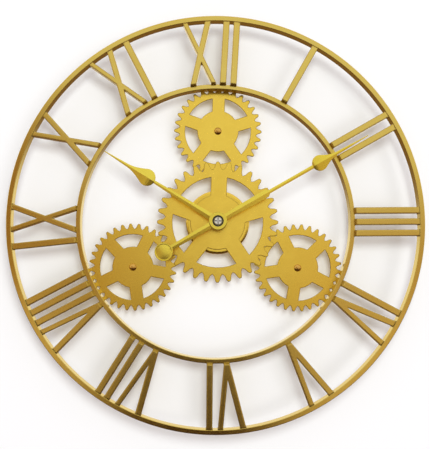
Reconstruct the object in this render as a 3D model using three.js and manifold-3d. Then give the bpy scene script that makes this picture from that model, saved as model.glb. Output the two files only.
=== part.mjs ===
// A skeleton wall clock in gold-painted iron: two hoops joined by bar numerals, four cut gear plates
// in the middle, and a quartz movement in a round cup behind them. Millimetres, +Z up, the dial faces
// -Y and the wall is the plane y = 0. The origin is where the nail carries the hanger.
import * as THREE from 'three';
import { mergeVertices } from 'three/addons/utils/BufferGeometryUtils.js';
import Module from 'manifold-3d';

const wasm = await Module();
wasm.setup();

// Fits between pieces
const weldGap = 0.3;
const runningGap = 0.15;
const faceGap = 0.3;
const overrun = 2;
const cornerSteps = 2;

// Hoops
const innerRingRadius = 201.6;
const innerRingWidth = 6.5;
const innerRingDepth = 14;
const innerRingRise = 2.5;
const outerRingReach = 98.4;
const outerRingWidth = 7;
const ringChamfer = 0.5;
const ringSides = 72;

// Numerals: bars, crosses and vees between the hoops
const numeralDepth = 12;
const numeralLap = 5;
const barWidth = 9;
const crossThickWidth = 7.9;
const crossThinWidth = 6.3;
const veeThickWidth = 8.6;
const veeThinWidth = 7.2;
const pairPitch = 15;
const widePairPitch = 21;
const triplePitch = 16.2;
const crossHeadSpan = 16.7;
const crossFootSpan = 15.3;
const veeHeadSpan = 16.5;
const veeFootSpan = 0.4;

// Decorative gear plates
const gearSheet = 1.5;
const gearTeeth = 32;
const gearSpokes = 5;
const centreGearTip = 89.2;
const centreGearToothHeight = 12.2;
const centreGearToothRound = 3.4;
const centreGearGulletRound = 3;
const centreGearRim = 10.6;
const centreGearHub = 40.4;
const centreGearSpoke = 23.5;
const centreGearTurn = 88;
const centreGearToothTurn = 1.8;
const smallGearToothHeight = 8.2;
const smallGearToothRound = 2.5;
const smallGearGulletRound = 2.3;
const smallGearRim = 8;
const smallGearHub = 30.3;
const smallGearSpoke = 18.3;
const smallGearInset = 0.6;
const smallGearsRight = 0.2;
const smallGearsRise = 0.6;
const gearLap = 17;
const toothRoundSteps = 3;
const gulletRoundSteps = 2;
const windowSteps = 6;

// Rivets in the small gears
const rivetHeadRadius = 5.4;
const rivetHeadHeight = 3.2;
const rivetShank = 2;
const rivetTailRadius = 3.6;
const rivetTailHeight = 0.8;
const rivetSides = 12;
const domeSteps = 4;

// Movement cup and hanger
const hubRight = 3.4;
const hubRise = 6;
const cupSideRoom = 18.8;
const cupWall = 1.2;
const cupShoulder = 3;
const cupSides = 48;
const hangerWidth = 15;
const hangerSheet = 2;
const hangerFoot = 13;
const hangerEyeRadius = 4.2;
const hangerSlotRadius = 2.6;
const hangerSlotRise = 7;
const hangerEyeRise = 7.5;

// Quartz movement case
const caseDepth = 16.5;
const caseWall = 1.5;
const caseCorner = 2.5;
const gasketSize = 30;
const gasketSheet = 1;
const neckRadius = 4;
const neckSetback = 2.1;
const neckSides = 24;
const wallClearance = 0.9;
const coverSheet = 1.5;
const coverBossRadius = 2.8;
const coverBossHeight = 3.2;

// Fixing nut and washer on the threaded neck
const washerRadius = 8;
const washerSheet = 0.8;
const fixingNutRadius = 7.5;
const fixingNutHeight = 3;
const fixingNutSides = 6;

// Motion works: the minute shaft drives the hour wheel twelve to one through the intermediate wheel
const workModule = 0.4;
const minutePinionTeeth = 12;
const intermediateTeeth = 36;
const intermediatePinionTeeth = 10;
const hourWheelTeeth = 40;
const knobPinionTeeth = 12;
const mostPinionTeeth = 16;
const pressureAngle = 22;
const toothAddendumShare = 0.85;
const toothDedendumShare = 1.15;
const toothBacklash = 0.12;
const hourWheelSheet = 1.2;
const intermediateSheet = 1;
const pinionExtra = 0.3;
const minuteShaftRadius = 1.75;
const minutePivotRadius = 1.25;
const minuteThreadRadius = 1.3;
const hourTubeWall = 0.65;
const shaftSides = 16;
const postRadius = 0.9;
const postPast = 0.8;
const intermediateBearing = 45;
const knobBearing = 62;
const knobRadius = 6;
const knobHeight = 2.1;
const knobStemRadius = 1.3;
const knobFlutes = 12;
const knobFluteRadius = 0.7;
const knobFluteSides = 8;

// Battery and contacts
const batteryRadius = 7.1;
const batteryLength = 49;
const batteryNubRadius = 2.7;
const batteryNubLength = 1.5;
const batterySides = 20;
const contactSheet = 0.5;
const contactWidth = 9;
const contactBow = 0.4;
const contactPlay = 0.2;

// Electric drive
const boardWidth = 13;
const boardSheet = 1;
const boardInset = 1.5;
const boardLift = 3.2;
const boardHeadroom = 5.5;
const coilLength = 16;
const coilWidth = 6.4;
const coilDepth = 5.4;
const statorSheet = 1;
const statorWidth = 12;
const statorHeight = 24;
const statorLimb = 2.4;
const trainBoxHeight = 17;
const trainBoxInset = 1;
const trainBoxLift = 0.7;
const trainBoxShaftGap = 1.7;
const trainBoxWheelGap = 1.5;

// Hands
const handSheet = 0.6;
const handRidgeShare = 0.17;
const handClearance = 1.4;
const bossRadius = 13;
const bossEdge = 0.8;
const hourBossHeight = 2.4;
const minuteBossHeight = 3.6;
const bossRecessRadius = 8.1;
const bossRecessDepth = 2.2;
const bossSides = 28;
const handTipHalf = 0.5;
const bulbSteps = 6;
const taperPower = 1.6;
const hourHandBearing = 148.3;
const hourHandLength = 190.5;
const hourHandRootHalf = 5.2;
const hourHandStemHalf = 2.3;
const hourBulbAlong = 119;
const hourBulbRadius = 12.3;
const hourBulbTaper = 32;
const hourBulbNeckHalf = 2.4;
const minuteHandBearing = 29.7;
const minuteHandLength = 245.5;
const minuteHandRootHalf = 3.9;
const minuteHandSwellStart = 62;
const minuteHandSwellEnd = 80;
const minuteHandSwellHalf = 5.7;
const minuteHandStemHalf = 2.65;
const handShoulder = 4;
const minuteBulbAlong = 166.8;
const minuteBulbRadius = 11.3;
const minuteBulbTaper = 25;
const minuteBulbNeckHalf = 2.5;
const tailRootHalf = 4.6;
const tailShoulderAlong = 49;
const tailStemHalf = 2.3;
const tailDiscAlong = 88.8;
const tailDiscRadius = 13.9;
const tailDiscSheet = 1.6;
const tailDiscRim = 1.6;
const tailDiscDish = 0.6;
const handNutRadius = 5.7;
const handNutHeight = 2.4;
const handNutSlot = 1.4;
const handNutSlotDepth = 1;
const handNutCrownSteps = 3;

// Hoops and gear plates: the small gears bridge the space from the centre gear to the inner hoop
const outerRingRadius = innerRingRadius + outerRingReach;
const smallGearTip = (innerRingRadius - smallGearInset - centreGearTip + gearLap) / 2;
const smallGearCircle = innerRingRadius - smallGearInset - smallGearTip;
const centreGearRoot = centreGearTip - centreGearToothHeight;
const smallGearRoot = smallGearTip - smallGearToothHeight;

// The case is as wide as the cell with its contacts, and the cup goes round the case
const contactRoom = faceGap / 2 + contactSheet + contactBow + contactPlay;
const caseInsideHalf = (batteryLength + batteryNubLength) / 2 + contactRoom;
const caseSize = 2 * (caseInsideHalf + caseWall);
const cupRadius = caseSize / 2 + cupSideRoom;
const cupDepth = wallClearance + knobHeight + faceGap + caseDepth + gasketSheet + cupWall;

// Planes in front of the wall
const gearPlane = cupDepth;
const innerRingFront = gearPlane + innerRingDepth;
const numeralBack = innerRingFront - numeralLap;
const numeralFront = numeralBack + numeralDepth;
const caseFront = cupDepth - cupWall - gasketSheet;
const caseBack = caseFront - caseDepth;
const caseInside = caseFront - caseWall;
const hourWheelFront = caseInside - faceGap;
const hourWheelBack = hourWheelFront - hourWheelSheet;
const intermediateFront = hourWheelBack - faceGap;
const intermediateBack = intermediateFront - intermediateSheet;
const minutePinionBack = intermediateBack - faceGap;
const hourHandBack = numeralFront + handClearance;
const hourHandHigh = hourHandBack + handSheet + hourBulbRadius * handRidgeShare;
const minuteHandBack = hourHandHigh + handClearance / 2;
const neckFront = hourHandBack - neckSetback;

// Radii of the turning parts
const tubeBore = minuteShaftRadius + runningGap;
const tubeRadius = tubeBore + hourTubeWall;
const neckBore = tubeRadius + runningGap;
const workCentres = workModule * (hourWheelTeeth + intermediatePinionTeeth) / 2;
const wheelModule = 2 * workCentres / (minutePinionTeeth + intermediateTeeth);
const knobCentres = wheelModule * (intermediateTeeth + knobPinionTeeth) / 2;

const { degToRad, lerp } = THREE.MathUtils;
const planeOrigin = new THREE.Vector2();

function gold() {
  return new THREE.MeshStandardMaterial({ color: 0xc9a144, roughness: 0.42, metalness: 0.65 });
}

function handGold() {
  return new THREE.MeshStandardMaterial({ color: 0xd9c23f, roughness: 0.38, metalness: 0.7 });
}

function steel() {
  return new THREE.MeshStandardMaterial({ color: 0xc8c8c4, roughness: 0.3, metalness: 1 });
}

function plastic(color) {
  return new THREE.MeshStandardMaterial({ color, roughness: 0.6, metalness: 0 });
}

// Geometry helpers: every solid is built with its own axis along +z, towards the viewer.

function polar(radius, angle, centre = planeOrigin) {
  return new THREE.Vector2(centre.x + radius * Math.cos(angle), centre.y + radius * Math.sin(angle));
}

function arc(radius, from, to, steps, centre = planeOrigin) {
  const points = [];
  for (let i = 0; i <= steps; i += 1) points.push(polar(radius, lerp(from, to, i / steps), centre));
  return points;
}

function plate(shape, thickness, back) {
  const geometry = new THREE.ExtrudeGeometry(shape, { depth: thickness, bevelEnabled: false });
  return geometry.translate(0, 0, back);
}

function rod(radius, back, front, sides) {
  const geometry = new THREE.CylinderGeometry(radius, radius, front - back, sides);
  return geometry.rotateX(Math.PI / 2).translate(0, 0, (front + back) / 2);
}

function block(width, height, back, front, x, y) {
  const geometry = new THREE.BoxGeometry(width, height, front - back);
  return geometry.translate(x, y, (front + back) / 2);
}

// Revolves a profile of [radius, height] pairs, listed so that the solid lies on its left.
function turned(profile, sides) {
  const points = profile.map(([radius, height]) => new THREE.Vector2(radius, height));
  return new THREE.LatheGeometry(points, sides).rotateX(Math.PI / 2);
}

// Turns a closed geometry into a solid that can be cut and joined.
function solid(geometry) {
  geometry.deleteAttribute('normal');
  geometry.deleteAttribute('uv');
  const merged = mergeVertices(geometry);
  const index = merged.index.array;
  const triangles = [];
  for (let i = 0; i < index.length; i += 3) {
    const [a, b, c] = [index[i], index[i + 1], index[i + 2]];
    if (a !== b && b !== c && c !== a) triangles.push(a, b, c);
  }
  const vertProperties = new Float32Array(merged.attributes.position.array);
  const triVerts = new Uint32Array(triangles);
  return new wasm.Manifold(new wasm.Mesh({ numProp: 3, vertProperties, triVerts }));
}

function shell(body) {
  const { vertProperties, triVerts } = body.getMesh();
  const geometry = new THREE.BufferGeometry();
  geometry.setAttribute('position', new THREE.BufferAttribute(vertProperties, 3));
  geometry.setIndex(new THREE.BufferAttribute(triVerts, 1));
  geometry.computeVertexNormals();
  return geometry;
}

function add(parent, name, geometry, material) {
  const mesh = new THREE.Mesh(geometry, material);
  mesh.name = name;
  parent.add(mesh);
  return mesh;
}

// Hoops: a flat bar on edge, rolled into a ring, with small chamfers on its front edges.
function hoop(radius, width, back, front) {
  const inside = radius - width;
  return turned([
    [inside, back],
    [radius, back],
    [radius, front - ringChamfer],
    [radius - ringChamfer, front],
    [inside + ringChamfer, front],
    [inside, front - ringChamfer],
    [inside, back],
  ], ringSides);
}

// One straight bar through two points of the dial, run past both so that the hoops can trim it.
function stroke(head, foot, width) {
  const run = new THREE.Vector2().subVectors(foot, head);
  const length = run.length() + 2 * (outerRingWidth + innerRingWidth);
  const geometry = new THREE.BoxGeometry(length, width, numeralDepth);
  geometry.rotateZ(run.angle());
  geometry.translate((head.x + foot.x) / 2, (head.y + foot.y) / 2, numeralBack + numeralDepth / 2);
  return solid(geometry);
}

// Trims numeral strokes to the hoops' walls, which they are welded to.
function trimmed(body) {
  const back = numeralBack - overrun;
  const front = numeralFront + overrun;
  const outerLimit = rod(outerRingRadius - outerRingWidth - weldGap, back, front, ringSides);
  const innerLimit = rod(innerRingRadius + weldGap, back, front, ringSides);
  innerLimit.translate(0, innerRingRise, 0);
  return shell(body.intersect(solid(outerLimit)).subtract(solid(innerLimit)));
}

const headReach = outerRingRadius - outerRingWidth;
const footReach = innerRingRadius;
const middleReach = (headReach + footReach) / 2;

// A point of a letter, given by its reach along the letter's bearing and its place to the left, as seen
// with the feet down. The letter leans about its middle.
function letterPoint({ bearing, lean }, reach, left) {
  const middle = new THREE.Vector2(middleReach, 0);
  const point = new THREE.Vector2(reach, left).rotateAround(middle, degToRad(lean));
  return point.rotateAround(planeOrigin, degToRad(bearing));
}

function barLetter(place, offset) {
  const head = letterPoint(place, headReach, offset);
  const foot = letterPoint(place, footReach, offset);
  return trimmed(stroke(head, foot, barWidth));
}

function crossLetter(place) {
  const thick = stroke(
    letterPoint(place, headReach, -crossHeadSpan),
    letterPoint(place, footReach, crossFootSpan),
    crossThickWidth,
  );
  const thin = stroke(
    letterPoint(place, headReach, crossHeadSpan),
    letterPoint(place, footReach, -crossFootSpan),
    crossThinWidth,
  );
  return trimmed(thick.add(thin));
}

function veeLetter(place) {
  const thin = stroke(
    letterPoint(place, headReach, -veeHeadSpan),
    letterPoint(place, footReach, -veeFootSpan),
    veeThinWidth,
  );
  const thick = stroke(
    letterPoint(place, headReach, veeHeadSpan),
    letterPoint(place, footReach, veeFootSpan),
    veeThickWidth,
  );
  return trimmed(thin.add(thick));
}

// Letters of the twelve numerals: the bearing of each is anticlockwise from three o'clock and its lean
// anticlockwise from that bearing, both in degrees.
const bars = [
  { hour: 'one', bearing: 60.9, lean: -0.4, count: 1, pitch: 0 },
  { hour: 'two', bearing: 31.2, lean: -1.6, count: 2, pitch: widePairPitch },
  { hour: 'three', bearing: 1.3, lean: -0.9, count: 3, pitch: triplePitch },
  { hour: 'four', bearing: 334.9, lean: -3, count: 1, pitch: 0 },
  { hour: 'six', bearing: 268, lean: 1.5, count: 1, pitch: 0 },
  { hour: 'seven', bearing: 236, lean: 1.7, count: 2, pitch: pairPitch },
  { hour: 'eight', bearing: 205.05, lean: 2.6, count: 3, pitch: triplePitch },
  { hour: 'nine', bearing: 185.9, lean: 0.1, count: 1, pitch: 0 },
  { hour: 'eleven', bearing: 115.85, lean: 1.5, count: 1, pitch: 0 },
  { hour: 'twelve', bearing: 85.2, lean: 1.5, count: 2, pitch: pairPitch },
];
const vees = [
  { hour: 'four', bearing: 328.1, lean: -0.8 },
  { hour: 'five', bearing: 301.45, lean: -0.7 },
  { hour: 'six', bearing: 274.6, lean: 0 },
  { hour: 'seven', bearing: 244.45, lean: 0 },
  { hour: 'eight', bearing: 214.6, lean: 1 },
];
const crosses = [
  { hour: 'nine', bearing: 177.6, lean: 1.5 },
  { hour: 'ten', bearing: 149.9, lean: 1.3 },
  { hour: 'eleven', bearing: 124.2, lean: 1.4 },
  { hour: 'twelve', bearing: 95.15, lean: 1.3 },
];

function addNumerals(parent) {
  for (const letter of bars) {
    const { hour, count, pitch } = letter;
    for (let i = 0; i < count; i += 1) {
      const name = count === 1 ? `${hour}_bar` : `${hour}_bar_${i + 1}`;
      add(parent, name, barLetter(letter, (i - (count - 1) / 2) * pitch), gold());
    }
  }
  for (const letter of vees) add(parent, `${letter.hour}_vee`, veeLetter(letter), gold());
  for (const letter of crosses) add(parent, `${letter.hour}_cross`, crossLetter(letter), gold());
}

// A decorative gear cut from sheet: round-tipped teeth, round gullets, windows between spokes. The teeth
// are turned from the spokes by an angle in degrees.
function cutGear(size, toothTurn, back) {
  const outline = [];
  const pitch = 2 * Math.PI / gearTeeth;
  for (let i = 0; i < gearTeeth; i += 1) {
    const tooth = degToRad(toothTurn) + i * pitch;
    const gullet = tooth + pitch / 2;
    const tipCentre = polar(size.tip - size.toothRound, tooth);
    const gulletCentre = polar(size.root + size.gulletRound, gullet);
    const quarter = Math.PI / 2;
    outline.push(...arc(size.toothRound, tooth - quarter, tooth + quarter, toothRoundSteps, tipCentre));
    outline.push(...arc(
      size.gulletRound,
      gullet + 3 * quarter,
      gullet + quarter,
      gulletRoundSteps,
      gulletCentre,
    ));
  }
  const shape = new THREE.Shape(outline);
  const spokePitch = 2 * Math.PI / gearSpokes;
  for (let i = 0; i < gearSpokes; i += 1) {
    const outerSide = Math.asin(size.spoke / 2 / size.window);
    const innerSide = Math.asin(size.spoke / 2 / size.hub);
    const from = i * spokePitch;
    const to = from + spokePitch;
    shape.holes.push(new THREE.Path([
      ...arc(size.window, from + outerSide, to - outerSide, windowSteps),
      ...arc(size.hub, to - innerSide, from + innerSide, windowSteps / 2),
    ]));
  }
  shape.holes.push(new THREE.Path(arc(size.bore, 0, 2 * Math.PI, shaftSides).slice(1)));
  return plate(shape, gearSheet, back);
}

const centreGearSize = {
  tip: centreGearTip,
  root: centreGearRoot,
  toothRound: centreGearToothRound,
  gulletRound: centreGearGulletRound,
  window: centreGearRoot - centreGearRim,
  hub: centreGearHub,
  spoke: centreGearSpoke,
  bore: neckRadius + weldGap,
};
const smallGearSize = {
  tip: smallGearTip,
  root: smallGearRoot,
  toothRound: smallGearToothRound,
  gulletRound: smallGearGulletRound,
  window: smallGearRoot - smallGearRim,
  hub: smallGearHub,
  spoke: smallGearSpoke,
  bore: rivetShank + weldGap,
};

// A rivet through a small gear, with its dome in front and its tail clinched behind.
function rivet() {
  const back = gearPlane - gearSheet;
  const dome = arc(1, 0, Math.PI / 2, domeSteps).map((point) => (
    [rivetHeadRadius * point.x, gearPlane + rivetHeadHeight * point.y]
  ));
  const head = turned([[0, gearPlane], ...dome], rivetSides);
  const shank = rod(rivetShank, back - rivetTailHeight / 2, gearPlane + rivetHeadHeight / 2, rivetSides);
  const tail = rod(rivetTailRadius, back - rivetTailHeight, back, rivetSides);
  return shell(solid(head).add(solid(shank)).add(solid(tail)));
}

// Small gears stand on a circle inside the inner hoop, each with a spoke pointing nearly outwards. The
// turns of spokes and teeth are in degrees.
const smallGears = [
  { side: 'top', bearing: 88.5, spokeTurn: 0, toothTurn: 0.6 },
  { side: 'left', bearing: 207.5, spokeTurn: -1.6, toothTurn: -0.4 },
  { side: 'right', bearing: 332, spokeTurn: 0.5, toothTurn: -0.4 },
];

function addSmallGears(parent) {
  const circleCentre = new THREE.Vector2(smallGearsRight, innerRingRise + smallGearsRise);
  for (const { side, bearing, spokeTurn, toothTurn } of smallGears) {
    const place = new THREE.Group();
    const centre = polar(smallGearCircle, degToRad(bearing), circleCentre);
    place.position.set(centre.x, centre.y, 0);
    place.rotation.z = degToRad(bearing + spokeTurn);
    parent.add(place);
    const gear = cutGear(smallGearSize, toothTurn, gearPlane - gearSheet);
    add(place, `${side}_gear`, gear, gold());
    add(place, `${side}_rivet`, rivet(), handGold());
  }
}

// The spun cup that holds the movement: open towards the wall, with a rounded front shoulder.
function movementCup() {
  const inside = cupRadius - cupWall;
  const bore = neckRadius + weldGap;
  const shoulderCentre = new THREE.Vector2(cupRadius - cupShoulder, cupDepth - cupShoulder);
  const outsideShoulder = arc(cupShoulder, 0, Math.PI / 2, cornerSteps, shoulderCentre);
  const insideShoulder = arc(cupShoulder - cupWall, Math.PI / 2, 0, cornerSteps, shoulderCentre);
  return turned([
    [inside, 0],
    [cupRadius, 0],
    ...outsideShoulder.map((point) => [point.x, point.y]),
    [bore, cupDepth],
    [bore, cupDepth - cupWall],
    ...insideShoulder.map((point) => [point.x, point.y]),
    [inside, 0],
  ], cupSides);
}

const hangerStart = cupRadius + weldGap;
const hangerEye = hangerStart + hangerEyeRise;
const nailRise = hangerEye + hangerSlotRise;

// The hanger: a strip against the wall with a keyhole, its foot bent forwards along the cup's wall.
function hanger() {
  const half = hangerWidth / 2;
  const strip = new THREE.Shape([
    new THREE.Vector2(-half, hangerStart),
    new THREE.Vector2(half, hangerStart),
    ...arc(half, 0, Math.PI, windowSteps, new THREE.Vector2(0, nailRise)),
  ]);
  const foot = block(hangerWidth, hangerSheet, 0, hangerFoot, 0, hangerStart + hangerSheet / 2);
  const eye = rod(hangerEyeRadius, -overrun, hangerSheet + overrun, shaftSides).translate(0, hangerEye, 0);
  const slotEnd = rod(hangerSlotRadius, -overrun, hangerSheet + overrun, shaftSides);
  slotEnd.translate(0, nailRise, 0);
  const slot = block(
    2 * hangerSlotRadius,
    hangerSlotRise,
    -overrun,
    hangerSheet + overrun,
    0,
    hangerEye + hangerSlotRise / 2,
  );
  const keyhole = solid(eye).add(solid(slotEnd)).add(solid(slot));
  return shell(solid(plate(strip, hangerSheet, 0)).add(solid(foot)).subtract(keyhole));
}

function roundedRectangle(width, height, corner, steps) {
  const x = width / 2 - corner;
  const y = height / 2 - corner;
  const quarter = Math.PI / 2;
  return [[x, y], [-x, y], [-x, -y], [x, -y]].flatMap(([cx, cy], i) => (
    arc(corner, i * quarter, (i + 1) * quarter, steps, new THREE.Vector2(cx, cy))
  ));
}

const batteryAxis = caseInside - faceGap - batteryRadius;
const batteryRise = batteryRadius + faceGap - caseInsideHalf;
const partitionRise = batteryRise + batteryRadius + faceGap + caseWall / 2;
const worksBottom = partitionRise + caseWall / 2;
const intermediatePlace = polar(workCentres, degToRad(intermediateBearing));
const knobPlace = polar(knobCentres, degToRad(knobBearing), intermediatePlace);

// Front case: a tray open to the back, a partition over the battery, the threaded neck in front and
// the post for the intermediate wheel inside.
function caseFrontShell() {
  const outside = new THREE.Shape(roundedRectangle(caseSize, caseSize, caseCorner, cornerSteps));
  const hollowSize = 2 * caseInsideHalf;
  const hollowCorner = caseCorner - caseWall;
  const hollow = new THREE.Shape(
    roundedRectangle(hollowSize, hollowSize, hollowCorner, cornerSteps),
  );
  const hollowDepth = caseInside - caseBack + overrun;
  const partition = block(
    hollowSize + caseWall,
    caseWall,
    caseBack + coverSheet + faceGap,
    caseFront - caseWall / 2,
    0,
    partitionRise,
  );
  const neck = rod(neckRadius, caseFront - caseWall / 2, neckFront, neckSides);
  const bore = rod(neckBore, caseBack, neckFront + overrun, neckSides);
  const post = rod(postRadius, intermediateBack - postPast, caseFront - caseWall / 2, shaftSides);
  post.translate(intermediatePlace.x, intermediatePlace.y, 0);
  const tray = solid(plate(outside, caseDepth, caseBack))
    .subtract(solid(plate(hollow, hollowDepth, caseBack - overrun)));
  return shell(tray.add(solid(partition)).add(solid(neck)).add(solid(post)).subtract(solid(bore)));
}

const coverBottom = partitionRise - caseWall / 2;
const pivotBack = caseBack + coverSheet + faceGap;

// Back case: a plate over the works with a bearing for the minute shaft and a hole for the knob.
function caseBackCover() {
  const width = 2 * (caseInsideHalf - faceGap);
  const height = caseInsideHalf - faceGap - coverBottom;
  const outline = roundedRectangle(width, height, caseCorner - caseWall, cornerSteps);
  const shift = new THREE.Vector2(0, coverBottom + height / 2);
  const shape = new THREE.Shape(outline.map((point) => point.add(shift)));
  const boss = rod(coverBossRadius, caseBack, caseBack + coverSheet + coverBossHeight, shaftSides);
  const bearing = rod(
    minutePivotRadius + runningGap,
    caseBack + coverSheet,
    caseBack + coverSheet + coverBossHeight + overrun,
    shaftSides,
  );
  const stemHole = rod(
    knobStemRadius + runningGap,
    caseBack - overrun,
    caseBack + coverSheet + overrun,
    shaftSides,
  );
  stemHole.translate(knobPlace.x, knobPlace.y, 0);
  const cover = solid(plate(shape, coverSheet, caseBack)).add(solid(boss));
  return shell(cover.subtract(solid(bearing)).subtract(solid(stemHole)));
}

function gasket() {
  const shape = new THREE.Shape(roundedRectangle(gasketSize, gasketSize, caseCorner, cornerSteps));
  shape.holes.push(new THREE.Path(arc(neckRadius + weldGap, 0, 2 * Math.PI, shaftSides).slice(1)));
  return plate(shape, gasketSheet, caseFront);
}

function ringShape(outerPoints, bore) {
  const shape = new THREE.Shape(outerPoints);
  shape.holes.push(new THREE.Path(arc(bore, 0, 2 * Math.PI, shaftSides).slice(1)));
  return shape;
}

function fixingWasher() {
  const rim = arc(washerRadius, 0, 2 * Math.PI, neckSides).slice(1);
  return plate(ringShape(rim, neckRadius + weldGap), washerSheet, gearPlane + gearSheet);
}

function fixingNut() {
  const hexagon = arc(fixingNutRadius, 0, 2 * Math.PI, fixingNutSides).slice(1);
  const back = gearPlane + gearSheet + washerSheet;
  return plate(ringShape(hexagon, neckRadius + weldGap), fixingNutHeight, back);
}

// Flank half angle of an involute tooth at a radius.
function toothHalfAngle(teeth, module, radius) {
  const pitchRadius = teeth * module / 2;
  const pressure = degToRad(pressureAngle);
  const base = pitchRadius * Math.cos(pressure);
  const involute = (angle) => Math.tan(angle) - angle;
  const flank = Math.acos(base / Math.max(radius, base));
  const half = Math.PI / 2 / teeth - toothBacklash / 2 / pitchRadius;
  return half + involute(pressure) - involute(flank);
}

// A wheel of the motion works, with one tooth along +x. A pinion's flanks bulge at the pitch circle,
// a large wheel's are nearly straight.
function workWheelShape(teeth, module, bore) {
  const pitchRadius = teeth * module / 2;
  const root = pitchRadius - toothDedendumShare * module;
  const tip = pitchRadius + toothAddendumShare * module;
  const radii = teeth > mostPinionTeeth ? [root, tip] : [root, pitchRadius, tip];
  const outline = [];
  for (let i = 0; i < teeth; i += 1) {
    const centre = i * 2 * Math.PI / teeth;
    for (const radius of radii) {
      outline.push(polar(radius, centre - toothHalfAngle(teeth, module, radius)));
    }
    for (const radius of [...radii].reverse()) {
      outline.push(polar(radius, centre + toothHalfAngle(teeth, module, radius)));
    }
  }
  return bore ? ringShape(outline, bore) : new THREE.Shape(outline);
}

// The turn that puts a follower's teeth into a driver's gaps, for a mesh along a bearing.
function meshedTurn(driverTurn, driverTeeth, bearing, followerTeeth) {
  const driverPhase = (bearing - driverTurn) * driverTeeth / (2 * Math.PI);
  return bearing + Math.PI - (0.5 - driverPhase) * 2 * Math.PI / followerTeeth;
}

const minuteSeat = minuteHandBack + minuteBossHeight - bossRecessDepth;
const minuteShaftEnd = minuteSeat + handNutHeight;

// Minute shaft: rear pivot, pinion, long spindle through the hour tube, threaded end for the nut.
function minuteShaft() {
  const spindleBack = caseBack + coverSheet + coverBossHeight + faceGap;
  const pivot = rod(minutePivotRadius, pivotBack, spindleBack + overrun, shaftSides);
  const spindle = rod(minuteShaftRadius, spindleBack, minuteHandBack, shaftSides);
  const thread = rod(minuteThreadRadius, minuteHandBack - overrun, minuteShaftEnd, shaftSides);
  const pinion = plate(
    workWheelShape(minutePinionTeeth, wheelModule),
    intermediateSheet + pinionExtra,
    minutePinionBack,
  );
  return shell(solid(pivot).add(solid(spindle)).add(solid(thread)).add(solid(pinion)));
}

// Hour wheel: a toothed disc behind the case's front wall, with its tube running out of the neck.
function hourWheel() {
  const tube = rod(tubeRadius, hourWheelBack, hourHandBack + hourBossHeight, shaftSides);
  const disc = plate(workWheelShape(hourWheelTeeth, workModule), hourWheelSheet, hourWheelBack);
  const bore = rod(tubeBore, hourWheelBack - overrun, minuteHandBack + overrun, shaftSides);
  return shell(solid(disc).add(solid(tube)).subtract(solid(bore)));
}

// Intermediate wheel: driven by the minute pinion, its own pinion drives the hour wheel.
function intermediateWheel(pinionTurn) {
  const wheel = plate(
    workWheelShape(intermediateTeeth, wheelModule),
    intermediateSheet,
    intermediateBack,
  );
  const pinion = plate(
    workWheelShape(intermediatePinionTeeth, workModule),
    hourWheelFront - intermediateBack,
    intermediateBack,
  );
  pinion.rotateZ(pinionTurn);
  const bore = rod(postRadius + runningGap, intermediateBack - overrun, caseFront, shaftSides);
  return shell(solid(wheel).add(solid(pinion)).subtract(solid(bore)));
}

// Setting knob: a fluted disc behind the case on a stem whose pinion turns the intermediate wheel.
function settingKnob() {
  const front = caseBack - faceGap;
  const back = front - knobHeight;
  let grip = solid(rod(knobRadius, back, front, 2 * knobFlutes));
  for (let i = 0; i < knobFlutes; i += 1) {
    const place = polar(knobRadius, i * 2 * Math.PI / knobFlutes);
    const flute = rod(knobFluteRadius, back - overrun, front + overrun, knobFluteSides);
    grip = grip.subtract(solid(flute.translate(place.x, place.y, 0)));
  }
  const stem = rod(knobStemRadius, front - knobHeight / 2, intermediateFront, shaftSides);
  const pinion = plate(
    workWheelShape(knobPinionTeeth, wheelModule),
    intermediateSheet + pinionExtra,
    minutePinionBack,
  );
  return shell(grip.add(solid(stem)).add(solid(pinion)));
}

// Battery lying along x, its nub to the right.
function battery() {
  const end = batteryLength / 2;
  const body = turned([
    [0, -end],
    [batteryRadius, -end],
    [batteryRadius, end],
    [batteryNubRadius, end],
    [batteryNubRadius, end + batteryNubLength],
    [0, end + batteryNubLength],
  ], batterySides);
  return body.rotateY(Math.PI / 2).translate(-batteryNubLength / 2, 0, 0);
}

const contactHigh = 2 * batteryRadius - 2 * faceGap;

// A flat contact for the battery's nub, and a bowed one that presses on its base.
function flatContact() {
  const x = caseInsideHalf - faceGap - contactSheet / 2;
  return block(contactSheet, contactWidth, -contactHigh / 2, contactHigh / 2, x, 0);
}

function bowedContact() {
  const wall = -caseInsideHalf + faceGap / 2;
  const high = contactHigh / 2;
  const shape = new THREE.Shape([
    new THREE.Vector2(wall, -high),
    new THREE.Vector2(wall + contactSheet, -high),
    new THREE.Vector2(wall + contactSheet + contactBow, 0),
    new THREE.Vector2(wall + contactSheet, high),
    new THREE.Vector2(wall, high),
    new THREE.Vector2(wall + contactBow, 0),
  ]);
  const strip = plate(shape, contactWidth, -contactWidth / 2);
  return strip.rotateX(Math.PI / 2);
}

const boardBack = caseInside - faceGap - boardSheet;
const boardRight = boardInset + boardWidth / 2 - caseInsideHalf;
const boardHeight = caseInsideHalf - boardHeadroom - worksBottom - boardLift;
const boardRise = worksBottom + boardLift + boardHeight / 2;
const coilAxis = boardBack - faceGap - coilDepth / 2;
const limbRight = boardRight - statorWidth / 2 + statorLimb / 2;

function circuitBoard() {
  return block(boardWidth, boardHeight, boardBack, boardBack + boardSheet, boardRight, boardRise);
}

// The coil is wound round the stator's left limb.
function coil() {
  const outside = solid(block(coilWidth, coilLength, -coilDepth / 2, coilDepth / 2, 0, 0));
  const slotDepth = statorSheet / 2 + faceGap;
  const slot = block(
    statorLimb + 2 * faceGap,
    coilLength + overrun,
    -slotDepth,
    slotDepth,
    0,
    0,
  );
  return shell(outside.subtract(solid(slot)));
}

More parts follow.
